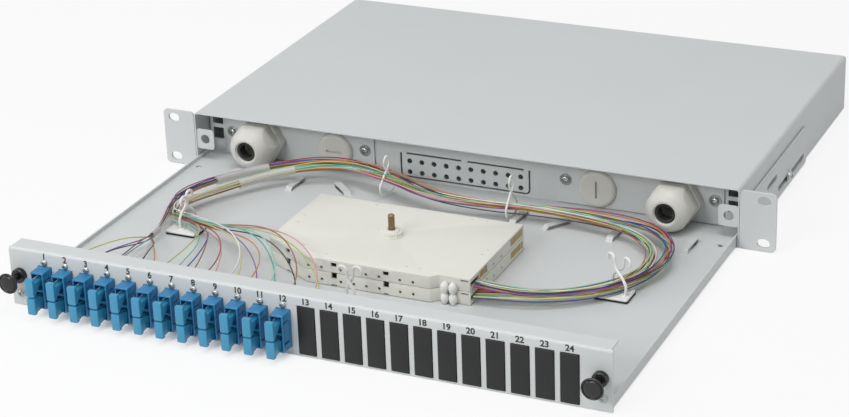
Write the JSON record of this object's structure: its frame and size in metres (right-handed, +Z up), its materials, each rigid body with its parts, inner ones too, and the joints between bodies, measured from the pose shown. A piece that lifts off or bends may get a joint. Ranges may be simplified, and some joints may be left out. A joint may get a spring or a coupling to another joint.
{
  "type": "fiber termination box",
  "caption": "Flat rack-mount fibre termination box with a pull-out splice drawer, a row of ports on its front panel, side latches, cable glands and a splice cassette.",
  "frame": {"origin": "middle of the housing's flat underside", "axes": "+Z up, -Y towards the front panel and the way the drawer pulls out, +X to the right of the ports as seen from the front"},
  "size_m": [0.4826, 0.5524, 0.044],
  "materials": {
    "paint_light_grey": "fine powder coat",
    "plastic_blue": "satin moulding",
    "plastic_black": "satin moulding",
    "plastic_pale_grey": "satin moulding",
    "plastic_cream": "satin moulding",
    "plastic_white": "satin moulding",
    "stud_brass": "turned",
    "fibre_yellow": "smooth jacket",
    "fibre_violet": "smooth jacket",
    "fibre_teal": "smooth jacket",
    "fibre_black": "smooth jacket",
    "fibre_lime": "smooth jacket",
    "fibre_blue": "smooth jacket",
    "fibre_red": "smooth jacket",
    "fibre_white": "smooth jacket",
    "fibre_orange": "smooth jacket",
    "fibre_mint": "smooth jacket",
    "fibre_brown": "smooth jacket",
    "fibre_rose": "smooth jacket"
  },
  "bodies": {
    "housing": {"housing_cover": "paint_light_grey", "housing_base": "paint_light_grey", "rack_ear_left": "paint_light_grey", "rack_ear_right": "paint_light_grey"},
    "drawer": {"drawer_tray": "paint_light_grey", "front_panel": "paint_light_grey", "gland_plate_left": "paint_light_grey", "gland_plate_right": "paint_light_grey", "gland_body_left": "plastic_pale_grey", "gland_body_right": "plastic_pale_grey", "gland_dome_nut_left": "plastic_pale_grey", "gland_dome_nut_right": "plastic_pale_grey", "blanking_plug_left": "plastic_pale_grey", "blanking_plug_right": "plastic_pale_grey", "latch_grommet_left": "plastic_black", "latch_grommet_right": "plastic_black", "adapter_01": "plastic_blue", "adapter_02": "plastic_blue", "adapter_03": "plastic_blue", "adapter_04": "plastic_blue", "adapter_05": "plastic_blue", "adapter_06": "plastic_blue", "adapter_07": "plastic_blue", "adapter_08": "plastic_blue", "adapter_09": "plastic_blue", "adapter_10": "plastic_blue", "adapter_11": "plastic_blue", "adapter_12": "plastic_blue", "dust_cap_01": "plastic_blue", "dust_cap_02": "plastic_blue", "dust_cap_03": "plastic_blue", "dust_cap_04": "plastic_blue", "dust_cap_05": "plastic_blue", "dust_cap_06": "plastic_blue", "dust_cap_07": "plastic_blue", "dust_cap_08": "plastic_blue", "dust_cap_09": "plastic_blue", "dust_cap_10": "plastic_blue", "dust_cap_11": "plastic_blue", "dust_cap_12": "plastic_blue", "port_blank_strip": "plastic_black", "splice_tray_lower": "plastic_cream", "splice_tray_upper": "plastic_cream", "cassette_stud": "stud_brass", "fibre_clip_left": "plastic_white", "fibre_clip_right": "plastic_white", "pigtail_01": "fibre_yellow", "pigtail_02": "fibre_violet", "pigtail_03": "fibre_teal", "pigtail_04": "fibre_black", "pigtail_05": "fibre_lime", "pigtail_06": "fibre_blue", "pigtail_07": "fibre_red", "pigtail_08": "fibre_white", "pigtail_09": "fibre_orange", "pigtail_10": "fibre_mint", "pigtail_11": "fibre_brown", "pigtail_12": "fibre_rose"},
    "left_plunger": {"latch_plunger_left": "plastic_black"},
    "right_plunger": {"latch_plunger_right": "plastic_black"}
  },
  "joints": [
    {"name": "drawer_slide", "type": "slide", "parent": "housing", "child": "drawer", "axis": [0, 1, 0], "range_m": [0, 0.2502]},
    {"name": "left_latch", "type": "slide", "parent": "drawer", "child": "left_plunger", "axis": [0, 1, 0], "range_m": [0, 0.009]},
    {"name": "right_latch", "type": "slide", "parent": "drawer", "child": "right_plunger", "axis": [0, 1, 0], "range_m": [0, 0.009]}
  ]
}
